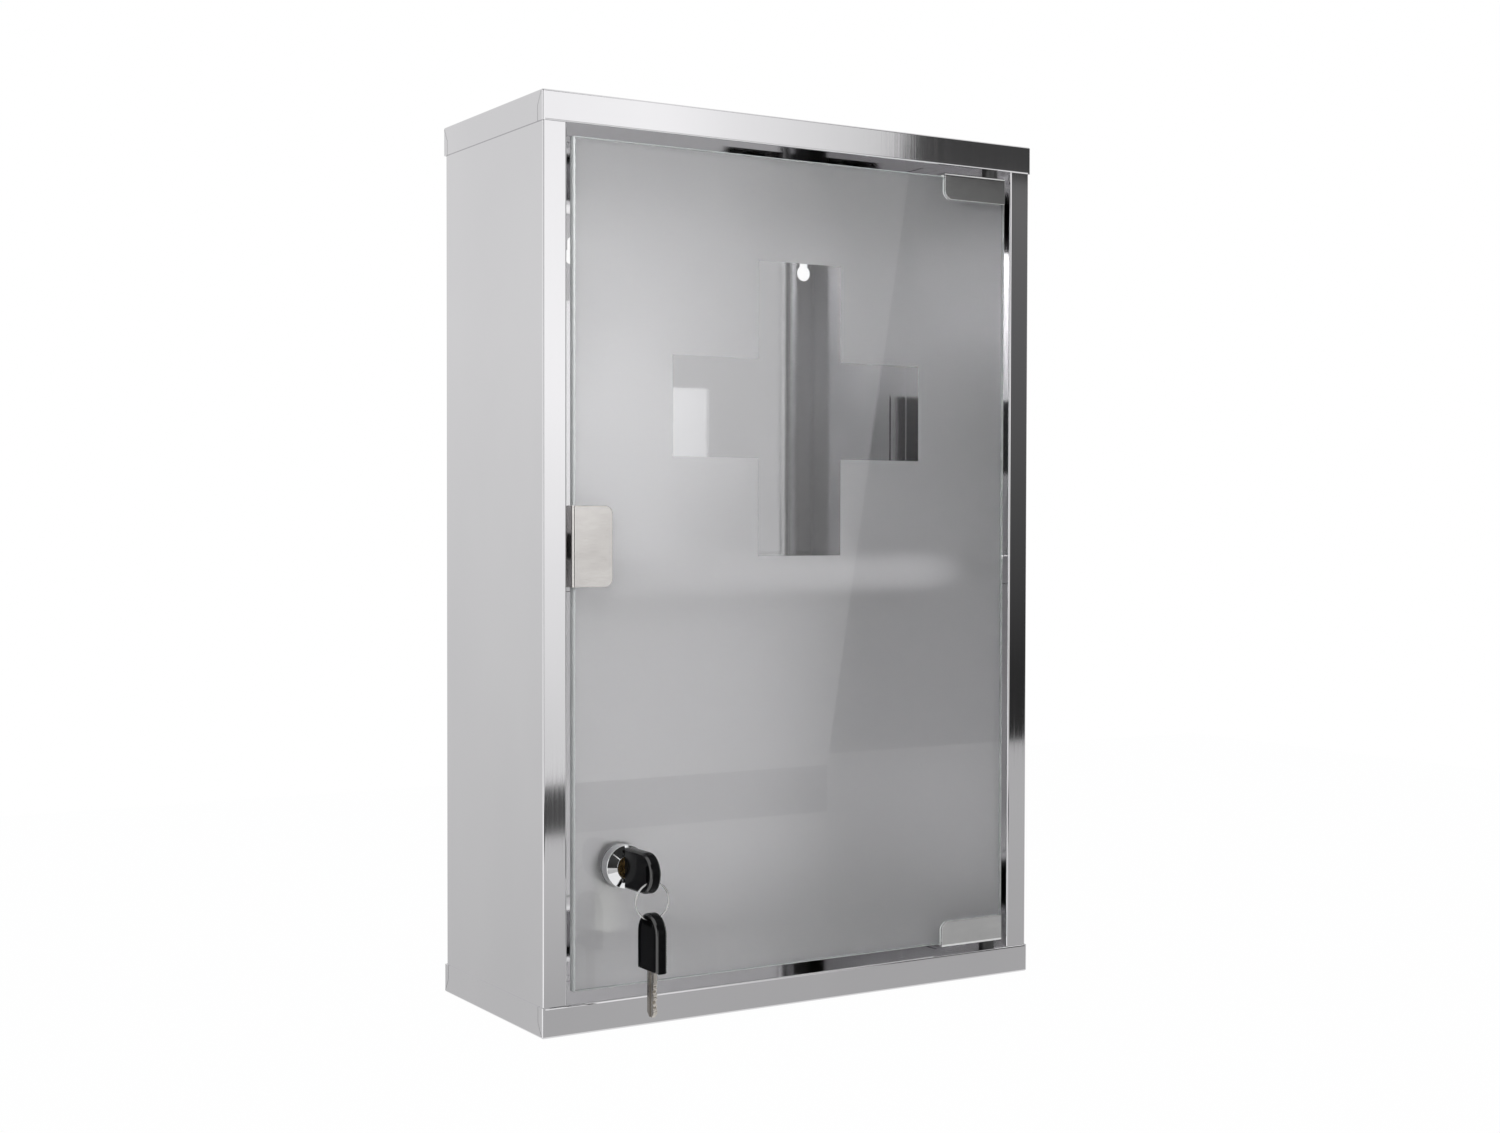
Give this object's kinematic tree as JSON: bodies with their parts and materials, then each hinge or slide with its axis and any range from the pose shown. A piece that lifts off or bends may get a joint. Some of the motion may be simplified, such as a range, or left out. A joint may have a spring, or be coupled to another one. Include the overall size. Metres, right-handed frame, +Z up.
{
  "type": "wall medicine cabinet",
  "caption": "Wall-hung folded stainless cabinet with a shelf and an inset frosted glass door that has a clear cross, pivot clips, a push catch and a cam lock with keys.",
  "frame": {"origin": "midway between the round parts of the two keyholes, on the outer face of the back panel", "axes": "+X right as seen from the front, +Y into the wall, +Z up"},
  "size_m": [0.3, 0.1623, 0.46],
  "materials": {
    "polished_steel": "polished stainless sheet with a faint rolled grain",
    "frosted_glass": "clear front, satin-etched rear with a clear cross",
    "bright_steel": "fine-ground stainless, nearly polished",
    "satin_steel": "satin stainless",
    "clear_liner": "soft translucent strip",
    "zinc_steel": "zinc plated",
    "nylon": "natural nylon",
    "black_nylon": "black nylon",
    "catch_plastic": "moulded, matt",
    "magnet": "nickel-grey disc",
    "black_rubber": "matt",
    "lock_chrome": "bright chrome",
    "lock_brass": "turned brass",
    "key_nickel": "nickel silver",
    "bow_plastic": "moulded, semi-gloss black"
  },
  "bodies": {
    "cabinet": {"left_side_panel": "polished_steel", "right_side_panel": "polished_steel", "back_panel": "polished_steel", "top_cap": "polished_steel", "bottom_cap": "polished_steel", "shelf": "polished_steel", "left_shelf_rest": "polished_steel", "right_shelf_rest": "polished_steel", "top_pivot_bush": "black_nylon", "bottom_pivot_bush": "black_nylon", "catch_housing": "catch_plastic", "catch_screws": "zinc_steel", "catch_spring": "zinc_steel"},
    "door": {"door_glass": "frosted_glass", "top_hinge_clip": "bright_steel", "bottom_hinge_clip": "bright_steel", "top_hinge_liner": "clear_liner", "bottom_hinge_liner": "clear_liner", "hinge_clamp_screws": "zinc_steel", "top_pivot_pin": "zinc_steel", "bottom_pivot_pin": "zinc_steel", "strike_clip": "satin_steel", "strike_clip_liner": "clear_liner", "strike_clamp_screws": "zinc_steel", "lock_barrel": "lock_chrome", "lock_gasket": "black_rubber", "lock_sleeve": "black_nylon", "lock_washer": "black_rubber", "lock_nut": "zinc_steel"},
    "lock_plug": {"lock_plug": "lock_brass", "lock_cam": "zinc_steel", "cam_washer": "zinc_steel", "cam_screw": "zinc_steel"},
    "key": {"key_blade": "key_nickel", "key_bow": "bow_plastic"},
    "key_ring": {"key_ring": "bright_steel"},
    "spare_key": {"spare_key_blade": "key_nickel", "spare_key_bow": "bow_plastic"},
    "catch_plunger": {"catch_plunger": "nylon", "catch_magnet": "magnet"}
  },
  "joints": [
    {"name": "door_swing", "type": "hinge", "parent": "cabinet", "child": "door", "pos_m": [0.125, -0.1145, -0.167], "axis": [0, 0, 1], "range_deg": [0, 110]},
    {"name": "lock_turn", "type": "hinge", "parent": "door", "child": "lock_plug", "pos_m": [-0.107, -0.1186, -0.3155], "axis": [0, 1, 0], "range_deg": [0, 90]},
    {"name": "key_slide", "type": "slide", "parent": "lock_plug", "child": "key", "axis": [0, -1, 0], "range_m": [0, 0.024]},
    {"name": "ring_swing", "type": "hinge", "parent": "key", "child": "key_ring", "pos_m": [-0.107, -0.1516, -0.31932], "axis": [1, 0, 0], "range_deg": [-75, 12]},
    {"name": "spare_swing", "type": "hinge", "parent": "key_ring", "child": "spare_key", "pos_m": [-0.107, -0.1516, -0.33731], "axis": [1, 0, 0], "range_deg": [-75, 12]},
    {"name": "catch_press", "type": "slide", "parent": "cabinet", "child": "catch_plunger", "axis": [0, 1, 0], "range_m": [0, 0.004], "stiffness_N_per_m": 500, "springref_m": -0.004, "deforming": ["catch_spring"]}
  ]
}
